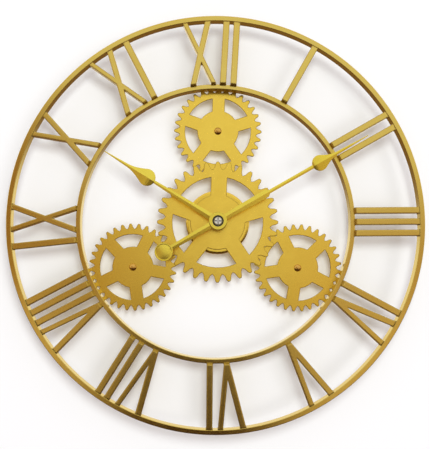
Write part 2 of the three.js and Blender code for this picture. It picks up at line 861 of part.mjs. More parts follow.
// The stator: a closed iron frame.
function stator() {
  const frame = solid(block(statorWidth, statorHeight, -statorSheet / 2, statorSheet / 2, 0, 0));
  const opening = block(
    statorWidth - 2 * statorLimb,
    statorHeight - 2 * statorLimb,
    -overrun,
    overrun,
    0,
    0,
  );
  return shell(frame.subtract(solid(opening)));
}

// Closed box over the step motor's rotor and its reduction wheels.
function gearTrainBox() {
  const left = coverBossRadius + trainBoxShaftGap;
  const right = caseInsideHalf - trainBoxInset;
  const depth = minutePinionBack - trainBoxWheelGap - pivotBack;
  const edge = caseCorner - caseWall;
  const outline = roundedRectangle(right - left, trainBoxHeight, edge, cornerSteps);
  const rise = worksBottom + trainBoxLift + trainBoxHeight / 2;
  const shift = new THREE.Vector2((left + right) / 2, rise);
  return plate(new THREE.Shape(outline.map((point) => point.add(shift))), depth, pivotBack);
}

// A folded sheet blade: stations along the hand give its half width, the fold rises in proportion.
function blade(stations, back) {
  const positions = [];
  const triangles = [];
  for (const { along, half } of stations) {
    const ridge = back + half * handRidgeShare;
    const front = back + handSheet;
    positions.push(along, -half, back, along, 0, ridge, along, half, back);
    positions.push(along, half, front, along, 0, ridge + handSheet, along, -half, front);
  }
  const sides = 6;
  for (let s = 0; s < stations.length - 1; s += 1) {
    for (let i = 0; i < sides; i += 1) {
      const j = (i + 1) % sides;
      const [a, b] = [s * sides + i, s * sides + j];
      const [c, d] = [b + sides, a + sides];
      triangles.push(a, b, c, a, c, d);
    }
  }
  const cap = [[0, 1, 4], [0, 4, 5], [1, 2, 3], [1, 3, 4]];
  const last = (stations.length - 1) * sides;
  for (const [a, b, c] of cap) triangles.push(last + a, last + b, last + c, c, b, a);
  const geometry = new THREE.BufferGeometry();
  geometry.setAttribute('position', new THREE.Float32BufferAttribute(positions, 3));
  geometry.setIndex(triangles);
  return geometry;
}

// The teardrop of a hand: round towards the hub, drawn out to a needle on the far side.
function teardrop({ centre, radius, stemHalf, taper, neckHalf }) {
  const stations = [];
  const start = Math.PI - Math.asin(stemHalf / radius);
  const end = Math.PI / 3;
  for (let i = 0; i <= bulbSteps; i += 1) {
    const point = polar(radius, lerp(start, end, i / bulbSteps));
    stations.push({ along: centre + point.x, half: point.y });
  }
  const from = stations[stations.length - 1];
  const reach = centre + taper - from.along;
  for (let i = 1; i <= bulbSteps; i += 1) {
    const share = i / bulbSteps;
    const along = from.along + reach * share;
    stations.push({ along, half: neckHalf + (from.half - neckHalf) * (1 - share) ** taperPower });
  }
  return stations;
}

// Collar of a hand round its spindle, with an optional recess in front for the nut.
function boss(back, height, bore, recessRadius, recessDepth) {
  const front = back + height;
  return turned([
    [bore, back],
    [bossRadius, back],
    [bossRadius, front - bossEdge],
    [bossRadius - bossEdge, front],
    [recessRadius, front],
    [recessRadius, front - recessDepth],
    [bore, front - recessDepth],
    [bore, back],
  ], bossSides);
}

function boreTool(bore, back) {
  return solid(rod(bore, back - overrun, back + minuteBossHeight + overrun, shaftSides));
}

function hourHand() {
  const bore = tubeRadius + weldGap;
  const stations = [
    { along: bossRadius / 2, half: hourHandRootHalf },
    ...teardrop({
      centre: hourBulbAlong,
      radius: hourBulbRadius,
      stemHalf: hourHandStemHalf,
      taper: hourBulbTaper,
      neckHalf: hourBulbNeckHalf,
    }),
    { along: hourHandLength, half: handTipHalf },
  ];
  const collar = boss(hourHandBack, hourBossHeight, bore, bore + bossEdge, bossEdge);
  return shell(solid(blade(stations, hourHandBack))
    .add(solid(collar))
    .subtract(boreTool(bore, hourHandBack)));
}

// Counterweight coin at the end of the minute hand's tail, dished inside its rim.
function tailDisc() {
  const front = minuteHandBack + tailDiscSheet;
  const coin = turned([
    [0, minuteHandBack],
    [tailDiscRadius, minuteHandBack],
    [tailDiscRadius, front],
    [tailDiscRadius - tailDiscRim, front],
    [tailDiscRadius - tailDiscRim - tailDiscDish, front - tailDiscDish],
    [0, front - tailDiscDish],
  ], bossSides);
  return coin.translate(-tailDiscAlong, 0, 0);
}

function minuteHand() {
  const bore = minuteThreadRadius + weldGap;
  const stations = [
    { along: bossRadius / 2, half: minuteHandRootHalf },
    { along: minuteHandSwellStart, half: minuteHandSwellHalf },
    { along: minuteHandSwellEnd, half: minuteHandSwellHalf },
    { along: minuteHandSwellEnd + handShoulder, half: minuteHandStemHalf },
    ...teardrop({
      centre: minuteBulbAlong,
      radius: minuteBulbRadius,
      stemHalf: minuteHandStemHalf,
      taper: minuteBulbTaper,
      neckHalf: minuteBulbNeckHalf,
    }),
    { along: minuteHandLength, half: handTipHalf },
  ];
  const tail = [
    { along: -tailDiscAlong + tailDiscRadius / 2, half: tailStemHalf },
    { along: -tailShoulderAlong - handShoulder / 2, half: tailStemHalf },
    { along: -tailShoulderAlong, half: tailRootHalf },
    { along: -bossRadius / 2, half: tailRootHalf },
  ];
  const collar = boss(minuteHandBack, minuteBossHeight, bore, bossRecessRadius, bossRecessDepth);
  return shell(solid(blade(stations, minuteHandBack))
    .add(solid(blade(tail, minuteHandBack)))
    .add(solid(tailDisc()))
    .add(solid(collar))
    .subtract(boreTool(bore, minuteHandBack)));
}

// Round nut on the shaft's end, with crossed slots.
function handNut() {
  const top = minuteSeat + handNutHeight;
  const crown = arc(1, 0, Math.PI / 2, handNutCrownSteps).map((point) => (
    [handNutRadius - bossEdge + bossEdge * point.x, top - bossEdge + bossEdge * point.y]
  ));
  const bore = minuteThreadRadius + runningGap;
  const body = turned([
    [bore, minuteSeat],
    [handNutRadius, minuteSeat],
    ...crown,
    [bore, top],
    [bore, minuteSeat],
  ], rivetSides);
  const slotBack = top - handNutSlotDepth;
  const across = block(2 * handNutRadius + overrun, handNutSlot, slotBack, top + overrun, 0, 0);
  const down = block(handNutSlot, 2 * handNutRadius + overrun, slotBack, top + overrun, 0, 0);
  return shell(solid(body).subtract(solid(across)).subtract(solid(down)));
}

function addMovement(parent) {
  const caseColor = 0x26262a;
  add(parent, 'centre_gear', cutGear(centreGearSize, centreGearToothTurn, gearPlane), gold())
    .rotation.z = degToRad(centreGearTurn);
  add(parent, 'movement_cup', movementCup(), gold());
  add(parent, 'hanger', hanger(), gold());
  add(parent, 'case_front', caseFrontShell(), plastic(caseColor));
  add(parent, 'case_back', caseBackCover(), plastic(caseColor));
  add(parent, 'rubber_gasket', gasket(), plastic(0x111111));
  add(parent, 'fixing_washer', fixingWasher(), steel());
  add(parent, 'fixing_nut', fixingNut(), steel());
  add(parent, 'circuit_board', circuitBoard(), plastic(0x2f6b3a));
  const coilMesh = add(parent, 'coil', coil(), plastic(0xb5642b));
  coilMesh.position.set(limbRight, boardRise, coilAxis);
  const statorMesh = add(parent, 'stator', stator(), steel());
  statorMesh.position.set(boardRight, boardRise, coilAxis);
  add(parent, 'gear_train_box', gearTrainBox(), plastic(0xe8e6dc));
  const cell = add(parent, 'battery', battery(), plastic(0x3a3a3a));
  cell.position.set(0, batteryRise, batteryAxis);
  add(parent, 'positive_contact', flatContact(), steel()).position.set(0, batteryRise, batteryAxis);
  add(parent, 'negative_contact', bowedContact(), steel()).position.set(0, batteryRise, batteryAxis);
}

function addMotionWorks(parent) {
  const bearing = degToRad(intermediateBearing);
  const wheelTurn = meshedTurn(0, minutePinionTeeth, bearing, intermediateTeeth);
  const pinionTurn = meshedTurn(0, hourWheelTeeth, bearing, intermediatePinionTeeth);
  const knobTurn = meshedTurn(wheelTurn, intermediateTeeth, degToRad(knobBearing), knobPinionTeeth);
  add(parent, 'minute_shaft', minuteShaft(), steel());
  const wheelColor = 0xf0f0ec;
  add(parent, 'hour_wheel', hourWheel(), plastic(wheelColor));
  const intermediate = intermediateWheel(pinionTurn - wheelTurn);
  const wheel = add(parent, 'intermediate_wheel', intermediate, plastic(wheelColor));
  wheel.position.set(intermediatePlace.x, intermediatePlace.y, 0);
  wheel.rotation.z = wheelTurn;
  const knob = add(parent, 'setting_knob', settingKnob(), plastic(wheelColor));
  knob.position.set(knobPlace.x, knobPlace.y, 0);
  knob.rotation.z = knobTurn;
}

function addHands(parent) {
  add(parent, 'hour_hand', hourHand(), handGold()).rotation.z = degToRad(hourHandBearing);
  add(parent, 'minute_hand', minuteHand(), handGold()).rotation.z = degToRad(minuteHandBearing);
  add(parent, 'hand_nut', handNut(), steel());
}

// The dial is modelled flat, with z towards the viewer, and then stood up against the wall.
const dial = new THREE.Group();
dial.rotation.x = Math.PI / 2;
dial.position.set(-hubRight, 0, -hubRise - nailRise);
const outerRing = hoop(outerRingRadius, outerRingWidth, numeralBack, numeralFront);
const innerRing = hoop(innerRingRadius, innerRingWidth, gearPlane, innerRingFront);
add(dial, 'outer_ring', outerRing, gold());
add(dial, 'inner_ring', innerRing.translate(0, innerRingRise, 0), gold());
addNumerals(dial);
addSmallGears(dial);
const movement = new THREE.Group();
movement.position.set(hubRight, hubRise, 0);
dial.add(movement);
addMovement(movement);
addMotionWorks(movement);
addHands(movement);

const clock = new THREE.Group();
clock.add(dial);

export default clock;
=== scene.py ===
import math

import bmesh
import bpy
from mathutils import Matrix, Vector


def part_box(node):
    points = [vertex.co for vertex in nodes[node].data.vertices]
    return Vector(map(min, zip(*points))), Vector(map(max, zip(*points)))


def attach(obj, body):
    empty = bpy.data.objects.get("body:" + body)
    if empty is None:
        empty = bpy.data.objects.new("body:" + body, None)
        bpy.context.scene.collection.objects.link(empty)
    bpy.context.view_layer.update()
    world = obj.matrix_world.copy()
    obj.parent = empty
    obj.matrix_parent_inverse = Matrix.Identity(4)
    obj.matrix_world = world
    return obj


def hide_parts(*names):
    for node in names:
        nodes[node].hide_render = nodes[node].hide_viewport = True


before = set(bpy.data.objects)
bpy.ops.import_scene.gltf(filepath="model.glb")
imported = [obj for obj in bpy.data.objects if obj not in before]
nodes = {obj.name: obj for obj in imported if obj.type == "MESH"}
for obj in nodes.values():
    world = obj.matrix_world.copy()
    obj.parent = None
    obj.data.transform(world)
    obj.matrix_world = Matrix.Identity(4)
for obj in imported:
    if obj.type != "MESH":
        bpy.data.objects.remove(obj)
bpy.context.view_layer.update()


# The hoops: two lengths of flat iron bar rolled on edge and welded shut, with the arrises eased by
# a file. Both carry the satin gold paint of the whole dial, and the dark brown laid on their
# arrises is painted shade.
class Value:
    """A socket of a finish. Arithmetic on it adds the Math nodes."""

    def __init__(self, finish, socket):
        self.finish = finish
        self.socket = socket

    def math(self, operation, *terms):
        return self.finish.node("ShaderNodeMath", {"operation": operation}, terms)

    def __add__(self, other):
        return self.math("ADD", self, other)

    def __radd__(self, other):
        return self.math("ADD", other, self)

    def __sub__(self, other):
        return self.math("SUBTRACT", self, other)

    def __rsub__(self, other):
        return self.math("SUBTRACT", other, self)

    def __mul__(self, other):
        return self.math("MULTIPLY", self, other)

    def __rmul__(self, other):
        return self.math("MULTIPLY", other, self)

    def __truediv__(self, other):
        return self.math("DIVIDE", self, other)

    def __gt__(self, other):
        return self.math("GREATER_THAN", self, other)

    def __lt__(self, other):
        return self.math("LESS_THAN", self, other)

    def limited(self):
        """The value, held between 0 and 1."""
        return self.finish.node("ShaderNodeClamp", None, {"Value": self})


class Finish:
    """A material that is put together node by node."""

    def __init__(self, name):
        self.material = bpy.data.materials.new(name)
        self.material.use_nodes = True
        self.tree = self.material.node_tree
        self.tree.nodes.clear()

    def node(self, kind, settings=None, sockets=None, output=0):
        """Adds a node with its settings, then its sockets by name or in order."""
        made = self.tree.nodes.new(kind)
        for name, value in (settings or {}).items():
            setattr(made, name, value)
        named = sockets.items() if isinstance(sockets, dict) else enumerate(sockets or [])
        for key, value in named:
            target = made.inputs[key]
            if isinstance(value, Value):
                self.tree.links.new(value.socket, target)
            elif target.type == "RGBA":
                target.default_value = (*value, 1)
            else:
                target.default_value = value
        return Value(self, made.outputs[output]) if made.outputs else None

    def place(self):
        return self.node("ShaderNodeTexCoord", output="Object")

    def noise(self, per_metre, detail=3, roughness=0.5):
        return self.node("ShaderNodeTexNoise", None, {
            "Vector": self.place(), "Scale": per_metre, "Detail": detail, "Roughness": roughness,
        })

    def waves(self, axis, scale, **warp):
        sockets = {"Vector": self.place(), "Scale": scale, **warp}
        return self.node("ShaderNodeTexWave", {"bands_direction": axis}, sockets)

    def arris(self, radius, samples):
        """The normal eased over the arrises, and how far it is turned from the face's own."""
        eased = self.node("ShaderNodeBevel", {"samples": samples}, {"Radius": radius})
        own = self.node("ShaderNodeNewGeometry", output="Normal")
        dot = {"operation": "DOT_PRODUCT"}
        return eased, 1 - self.node("ShaderNodeVectorMath", dot, [eased, own], "Value")

    def bump(self, height, strength, distance=0.0001, eased=None):
        sockets = {"Strength": strength, "Distance": distance, "Height": height}
        if eased is not None:
            sockets["Normal"] = eased
        return self.node("ShaderNodeBump", None, sockets)

    def mix(self, share, first, second):
        sockets = {0: share, 6: first, 7: second}
        return self.node("ShaderNodeMix", {"data_type": "RGBA"}, sockets, 2)

    def surface(self, sockets):
        shader = self.node("ShaderNodeBsdfPrincipled", None, sockets)
        self.node("ShaderNodeOutputMaterial", None, {"Surface": shader})
        return self.material


def tint(*screen):
    """A colour as it is read off a screen, from 0 to 255, in linear light."""
    return tuple(((c / 255 + 0.055) / 1.055) ** 2.4 if c > 10 else c / 3295 for c in screen)


def gold_finish(name, face, deep, painted_edge_shading, rough, edge_radius, edge_share=0.55, edge_gain=3.0):
    """Satin gold over metal: flakes, a soft orange peel, cloudy gloss, and a colour painted on the
    arrises: painted shade when it is darker than the face, a painted highlight when it is lighter.
    """
    gold = Finish(name)
    flakes = gold.noise(2600, 2)
    peel = gold.noise(700, 2)
    cloud = gold.noise(70, 4, 0.6)
    drift = gold.noise(9, 2)
    eased, turn = gold.arris(edge_radius, 6)
    # The arris mask, which lays the painted edge shading over the gold.
    edge = (turn * edge_gain * (0.5 + cloud)).limited()
    shade = (cloud - 0.5) * 0.5 + (drift - 0.5) * 1.1 + (flakes - 0.5) * 0.4 + 0.35
    return gold.surface({
        "Base Color": gold.mix(edge * edge_share, gold.mix(shade.limited(), face, deep), painted_edge_shading),
        "Metallic": 0.985 - (cloud - 0.5) * 0.02,
        "Roughness": rough + (cloud - 0.5) * 0.08 + (flakes - 0.5) * 0.06 - edge * 0.04,
        "Normal": gold.bump(peel * 0.7 + flakes * 0.3, 0.1, 0.0002, eased),
    })


def outline(corners, radii, steps=4):
    """A closed outline with its corners rounded, each by its own radius.

    A point close before and after each arc keeps the flats flat where the shading is smooth.
    """
    hold = 0.3
    rounded = []
    for i, corner in enumerate(corners):
        corner = Vector(corner)
        radius = radii[i]
        before = (Vector(corners[i - 1]) - corner).normalized()
        after = (Vector(corners[(i + 1) % len(corners)]) - corner).normalized()
        half = before.angle(after) / 2
        centre = corner + (before + after).normalized() * (radius / math.sin(half))
        start = corner + before * (radius / math.tan(half)) - centre
        end = corner + after * (radius / math.tan(half)) - centre
        rounded.append(centre + start + before * radius * hold)
        for step in range(steps + 1):
            share = step / steps
            rounded.append(centre + (start * (1 - share) + end * share).normalized() * radius)
        rounded.append(centre + end + after * radius * hold)
    return rounded


def turned(shape, profile, centre, sides):
    """Revolves a closed profile of (radius, depth in front of the wall) about an axis to it."""
    on_axis = 1e-7
    rings = []
    for radius, depth in profile:
        if radius < on_axis:
            rings.append([shape.verts.new((centre[0], -depth, centre[1]))] * sides)
            continue
        ring = []
        for i in range(sides):
            angle = 2 * math.pi * i / sides
            x = centre[0] + radius * math.cos(angle)
            z = centre[1] + radius * math.sin(angle)
            ring.append(shape.verts.new((x, -depth, z)))
        rings.append(ring)
    for j, ring in enumerate(rings):
        following = rings[(j + 1) % len(rings)]
        for i in range(sides):
            k = (i + 1) % sides
            corners = list(dict.fromkeys([ring[i], ring[k], following[k], following[i]]))
            if len(corners) > 2:
                shape.faces.new(corners)


def meshed(name, shape, sharp=math.radians(32)):
    """Closes a bmesh into a mesh, smooth but for its arrises."""
    bmesh.ops.recalc_face_normals(shape, faces=shape.faces)
    for face in shape.faces:
        face.smooth = True
    for edge in shape.edges:
        edge.smooth = not (edge.is_manifold and edge.calc_face_angle() > sharp)
    mesh = bpy.data.meshes.new(name)
    shape.to_mesh(mesh)
    shape.free()
    return mesh


def fitted(name, mesh, material, body, stands_for=()):
    """Puts a mesh on its body: for the plain nodes it stands for, or new, with a slot's finish."""
    piece = bpy.data.objects.new(name, mesh)
    bpy.context.scene.collection.objects.link(piece)
    mesh.materials.append(material)
    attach(piece, body)
    if stands_for:
        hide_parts(*stands_for)


def spot(node):
    """The centre of a node's face as seen from the front, and half its width."""
    low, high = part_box(node)
    return ((low.x + high.x) / 2, (low.z + high.z) / 2), (high.x - low.x) / 2


DIAL_GOLD = {
    "face": tint(212, 187, 97),
    "deep": tint(202, 172, 74),
    # Painted shade: the dark brown laid along the dial's arrises, which outlines every edge.
    "painted_edge_shading": tint(134, 100, 44),
}
HOOP_WIDTHS = {"outer_ring": 0.007, "inner_ring": 0.0065}
HOOP_BACK_EDGE = 0.0003
HOOP_FRONT_EDGE = 0.0006
HOOP_SIDES = 288
hoop_gold = gold_finish("hoop_gold", **DIAL_GOLD, rough=0.18, edge_radius=0.0008, edge_gain=5.0)
for hoop, width in HOOP_WIDTHS.items():
    low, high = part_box(hoop)
    back, front = -high.y, -low.y
    centre, radius = spot(hoop)
    corners = [(radius - width, back), (radius, back), (radius, front), (radius - width, front)]
    edges = [HOOP_BACK_EDGE, HOOP_BACK_EDGE, HOOP_FRONT_EDGE, HOOP_FRONT_EDGE]
    rolled = bmesh.new()
    turned(rolled, outline(corners, edges), centre, HOOP_SIDES)
    fitted(f"{hoop}_bar", meshed(hoop, rolled), hoop_gold, "dial", [hoop])


# The numerals: straight lengths of the same flat bar, sawn to letter strokes, standing on the inner
# hoop's rim and let in between the hoops.
def coated(material, *names):
    """Gives plain nodes their finish."""
    for name in names:
        nodes[name].data.materials.clear()
        nodes[name].data.materials.append(material)


HOURS = (
    "one", "two", "three", "four", "five", "six",
    "seven", "eight", "nine", "ten", "eleven", "twelve",
)
numerals = [name for name in nodes if name.split("_")[0] in HOURS]
# The bars' arrises take the dark brown over a wide radius: painted shade lines along every edge of
# the strokes.
bar_gold = gold_finish(
    "bar_gold",
    **DIAL_GOLD,
    rough=0.22,
    edge_radius=0.0026,
    edge_share=0.8,
    edge_gain=4.5,
)
coated(bar_gold, *numerals)


# The weld seams: a thin bead of iron wire all round each stroke's end where it meets a hoop, laid
# with a torch, left as it set and painted over with the dial.
SEAM_RADIUS = 0.0006
SEAM_STEP = 0.0012
SEAM_SIDES = 8
SEAM_SPANS = 6
SEAM_OFF_WALL = 0.0002
SEAM_SUNK = SEAM_RADIUS * 0.8
END_REACH = 0.0014
STROKE_GAP = 0.012


def seam(shape, path):
    """Lays one bead of weld, slightly lumpy, along a path of points."""
    points = []
    for start, end in zip(path, path[1:]):
        count = max(1, round((end - start).length / SEAM_STEP))
        points += [start.lerp(end, i / count) for i in range(count)]
    points.append(path[-1])
    rings = []
    for i, point in enumerate(points):
        along = (points[min(i + 1, len(points) - 1)] - points[max(i - 1, 0)]).normalized()
        side = along.orthogonal().normalized()
        up = along.cross(side)
        swell = SEAM_RADIUS * (1 + 0.16 * math.sin(2.3 * i) * math.cos(0.7 * i))
        rings.append([
            shape.verts.new(point + (side * math.cos(a) + up * math.sin(a)) * swell)
            for a in (2 * math.pi * k / SEAM_SIDES for k in range(SEAM_SIDES))
        ])
    for first, second in zip(rings, rings[1:]):
        for k in range(SEAM_SIDES):
            j = (k + 1) % SEAM_SIDES
            shape.faces.new([first[k], first[j], second[j], second[k]])
    shape.faces.new(rings[0])
    shape.faces.new(rings[-1])


def stroke_ends(name, centre, wall):
    """The ends of a letter's strokes at a hoop's wall, as pairs of bearings about its centre."""
    bearings = []
    for vertex in nodes[name].data.vertices:
        x, z = vertex.co.x - centre[0], vertex.co.z - centre[1]
        if abs(math.hypot(x, z) - wall) < END_REACH:
            bearings.append(math.atan2(z, x))
    middle = bearings[0]
    offsets = sorted((b - middle + math.pi) % (2 * math.pi) - math.pi for b in bearings)
    ends = [[offsets[0], offsets[0]]]
    for offset in offsets[1:]:
        if (offset - ends[-1][1]) * wall > STROKE_GAP:
            ends.append([offset, offset])
        ends[-1][1] = offset
    return [(middle + first, middle + last) for first, last in ends]


bar_low, bar_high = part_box("one_bar")
outer_wall = spot("outer_ring")[1] - HOOP_WIDTHS["outer_ring"]
inner_wall = spot("inner_ring")[1]
inner_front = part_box("inner_ring")[0].y
seams = bmesh.new()
for hoop, wall, radius, front in (
    ("outer_ring", outer_wall, outer_wall - SEAM_OFF_WALL, bar_low.y + SEAM_SUNK),
    ("inner_ring", inner_wall, inner_wall + SEAM_OFF_WALL, inner_front),
):
    centre, _ = spot(hoop)
    for name in numerals:
        for first, last in stroke_ends(name, centre, wall):
            path = []
            for i in range(SEAM_SPANS + 1):
                bearing = first + (last - first) * i / SEAM_SPANS
                x = centre[0] + radius * math.cos(bearing)
                z = centre[1] + radius * math.sin(bearing)
                path.append(Vector((x, front, z)))
            feet = [Vector((point.x, bar_high.y, point.z)) for point in (path[0], path[-1])]
            seam(seams, [feet[0], *path, feet[1]])
fitted("weld_seams", meshed("weld_seams", seams), bar_gold, "dial")


# The gear plates: four wheels cut from thin sheet by a laser, deburred and sprayed with the same
# gold. The small ones are spot-welded across the inner hoop and the big one.
# The cut edges are laid almost wholly in dark brown: a painted shade outline round every tooth,
# window and spoke.
gear_gold = gold_finish(
    "gear_gold",
    face=tint(234, 202, 84),
    deep=tint(222, 186, 66),
    painted_edge_shading=tint(112, 84, 34),
    rough=0.25,
    edge_radius=0.0016,
    edge_share=0.95,
    edge_gain=9.0,
)
coated(gear_gold, "centre_gear", "top_gear", "left_gear", "right_gear")


# The rivets: plain steel dome heads, brass-plated, one through the middle of each small wheel.
# They hold nothing up: they are there to look like a wheel's pivot.
# The pale colour on the arrises is a painted highlight round each dome's edge.
rivet_gold = gold_finish(
    "rivet_gold",
    face=tint(214, 172, 88),
    deep=tint(160, 116, 48),
    painted_edge_shading=tint(240, 222, 150),
    rough=0.16,
    edge_radius=0.0004,
)
RIVET_SHANK = 0.0019
RIVET_TAIL = 0.66
RIVET_SIDES = 40
DOME_STEPS = 10
for side in ("top", "left", "right"):
    low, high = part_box(f"{side}_rivet")
    gear_low, gear_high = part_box(f"{side}_gear")
    centre, head = spot(f"{side}_rivet")
    face, back, end = -gear_low.y, -gear_high.y, -high.y
    rise = -low.y - face
    tail = head * RIVET_TAIL
    profile = [(0, end), (tail, end), (tail, back), (RIVET_SHANK, back), (RIVET_SHANK, face)]
    for i in range(DOME_STEPS + 1):
        angle = math.pi / 2 * i / DOME_STEPS
        profile.append((head * math.cos(angle), face + rise * math.sin(angle)))
    riveted = bmesh.new()
    turned(riveted, profile, centre, RIVET_SIDES)
    fitted(f"{side}_rivet_dome", meshed("rivet", riveted), rivet_gold, "dial", [f"{side}_rivet"])


# The cup and its hanger: a disc of sheet spun over a form, open to the wall, that hides the
# movement and stands the dial off the wall, with a keyhole strip welded to the top of its rim.
coated(gear_gold, "movement_cup", "hanger")


# The movement's case: two mouldings in black ABS with a spark-eroded grain, and a rubber washer
# that keeps it from turning in the cup. Its neck has a fine thread, cut in the mould.
def moulded(name, colour, rough, threaded_before=None):
    """Moulded plastic with an eroded grain, edges that are less rough and painted lighter as a
    painted highlight, and maybe a threaded front.
    """
    plastic = Finish(name)
    grain = plastic.noise(2400, 2)
    cloud = plastic.noise(120, 3)
    eased, turn = plastic.arris(0.0004, 4)
    edge = (turn * 3).limited()
    height = grain * 0.5
    if threaded_before is not None:
        depth = plastic.node("ShaderNodeSeparateXYZ", None, [plastic.place()], "Y")
        threaded = depth < threaded_before
        height = height * (1 - threaded) + plastic.waves("Y", 450) * threaded * 4
    # A lighter colour, used for the painted highlight on the arrises and for the random cloud.
    light = tuple(c + (1 - c) * 0.14 for c in colour)
    return plastic.surface({
        "Base Color": plastic.mix(edge * 0.6 + cloud * 0.2, colour, light),
        "Roughness": rough + (cloud - 0.5) * 0.16 + (grain - 0.5) * 0.1 - edge * 0.1,
        "Specular IOR Level": 0.45,
        "Normal": plastic.bump(height, 0.35, eased=eased),
    })


NECK_START = -0.0275
case_black = moulded("case_black", tint(38, 38, 41), 0.55, NECK_START)
gasket_and_shade_black = moulded("gasket_and_shade_black", tint(24, 24, 25), 0.82)
coated(case_black, "case_front", "case_back")
coated(gasket_and_shade_black, "rubber_gasket")


# The fixing washer and nut: zinc-plated steel pressings on the neck, which clamp the centre wheel
# and the cup against the case. The steel inside the movement is plated in the same bath.
def bare_steel(name, colour, rough, stretch):
    """Plated steel with fine drawn lines, and painted shade, near black, in its slots and corners.
    """
    steel = Finish(name)
    near_only = {"only_local": True, "samples": 6}
    open_sky = steel.node("ShaderNodeAmbientOcclusion", near_only, {"Distance": 0.003}, "AO")
    # Painted shade: where the occlusion is deep, in slots and corners, the colour goes near black.
    slot_shade = ((0.82 - open_sky) * 3).limited()
    drawn = {"Vector": steel.place(), "Scale": stretch}
    stretched = steel.node("ShaderNodeMapping", None, drawn)
    wires = {"Vector": stretched, "Scale": 900, "Detail": 2}
    lines = steel.node("ShaderNodeTexNoise", None, wires)
    cloud = steel.noise(200, 3)
    eased, _ = steel.arris(0.0003, 4)
    dull = tuple(c * 0.72 for c in colour)
    return steel.surface({
        "Base Color": steel.mix(slot_shade, steel.mix(cloud, colour, dull), (0.01, 0.01, 0.01)),
        "Metallic": 1,
        "Roughness": rough + (lines - 0.5) * 0.2 + (cloud - 0.5) * 0.1 + slot_shade * 0.3,
        "Normal": steel.bump(lines, 0.12, eased=eased),
    })


zinc = bare_steel("zinc", tint(206, 206, 202), 0.3, (1, 1, 0.1))
coated(zinc, "fixing_washer", "fixing_nut", "stator", "minute_shaft")
coated(zinc, "positive_contact", "negative_contact")


# The works: white acetal wheels, the closed box of the reduction train, and the drive's coil of
# enamelled copper on its iron frame, on a small green board.
acetal = moulded("acetal", tint(232, 231, 224), 0.42)
coated(acetal, "gear_train_box", "hour_wheel", "intermediate_wheel", "setting_knob")

winding = Finish("winding")
turns = winding.waves("Z", 900)
winding.surface({
    "Base Color": winding.mix(turns, tint(120, 52, 20), tint(206, 120, 64)),
    "Metallic": 0.8,
    "Roughness": 0.3 + turns * 0.1,
    "Normal": winding.bump(turns, 0.6),
})
coated(winding.material, "coil")

lacquer = Finish("lacquer")
tracks = lacquer.waves("X", 90, **{"Distortion": 3, "Detail": 1, "Detail Scale": 40}) > 0.7
lacquer.surface({
    "Base Color": lacquer.mix(tracks, tint(34, 96, 52), tint(70, 140, 74)),
    "Roughness": 0.3 + tracks * 0.1,
    "Normal": lacquer.bump(tracks, 0.3),
})
coated(lacquer.material, "circuit_board")


# The cell: a steel can in a plain dark shrink film, bare metal at both ends. It is pushed in
# between the contacts from behind.
CELL_NUB = 0.0022
CELL_BASE = 0.0006
film = Finish("film")
along = film.node("ShaderNodeSeparateXYZ", None, [film.place()], "X")
cell_low, cell_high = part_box("battery")
bare = ((along > cell_high.x - CELL_NUB) + (along < cell_low.x + CELL_BASE)).limited()
ripple = film.noise(260, 2)
film.surface({
    "Base Color": film.mix(bare, tint(50, 52, 56), tint(200, 200, 196)),
    "Metallic": bare,
    "Roughness": 0.32 + (ripple - 0.5) * 0.2,
    "Normal": film.bump(ripple, 0.1),
})
coated(film.material, "battery")


# The hands: thin aluminium, stamped with a fold down the middle and lacquered a yellower gold, each
# riveted to a turned collar. The minute hand is made again for its tail, which narrows evenly from
# the collar to the coin.
# The pale colour on the arrises is a painted highlight along the hands' edges.
hand_gold = gold_finish(
    "hand_gold",
    face=tint(230, 212, 86),
    deep=tint(212, 184, 58),
    painted_edge_shading=tint(246, 236, 150),
    rough=0.26,
    edge_radius=0.0003,
)
coated(hand_gold, "hour_hand")

MINUTE_BEARING = math.radians(29.7)
HAND_SHEET = 0.0006
FOLD_RISE = 0.17
FOLD_SHARP = math.radians(12)
HAND_ROOT = 0.0065
STEM_STATIONS = [(HAND_ROOT, 0.0039), (0.062, 0.0057), (0.08, 0.0057), (0.084, 0.00265)]
BULB = {"centre": 0.1668, "radius": 0.0113, "stem": 0.00265, "reach": 0.025, "neck": 0.0025}
BULB_STEPS = 20
BULB_TAPER = 1.6
TIP_STATION = (0.2455, 0.0005)
TAIL_ROOT_HALF = 0.0046
TAIL_END_HALF = 0.0034
BORE_RADIUS = 0.0016
COLLAR_RADIUS = 0.013
COLLAR_HEIGHT = 0.0036
COLLAR_EDGE = 0.0008
RECESS_RADIUS = 0.0081
RECESS_FLOOR = 0.0014
COIN_ALONG = -0.0888
COIN_RADIUS = 0.0131
COIN_SHEET = 0.0016
COIN_EDGE = 0.0002
COIN_RIM = 0.0016
COIN_FIELD = [(0.0109, 0.0009), (0.008, 0.0012), (0.0045, 0.00145), (0, 0.00155)]
HAND_SIDES = 56
hub, nut_radius = spot("hand_nut")
hand_back = -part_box("minute_hand")[1].y


def along_hand(along, across=0):
    """A place on the face of the dial, from its distances along the minute hand and across it."""
    cos, sin = math.cos(MINUTE_BEARING), math.sin(MINUTE_BEARING)
    return hub[0] + along * cos - across * sin, hub[1] + along * sin + across * cos


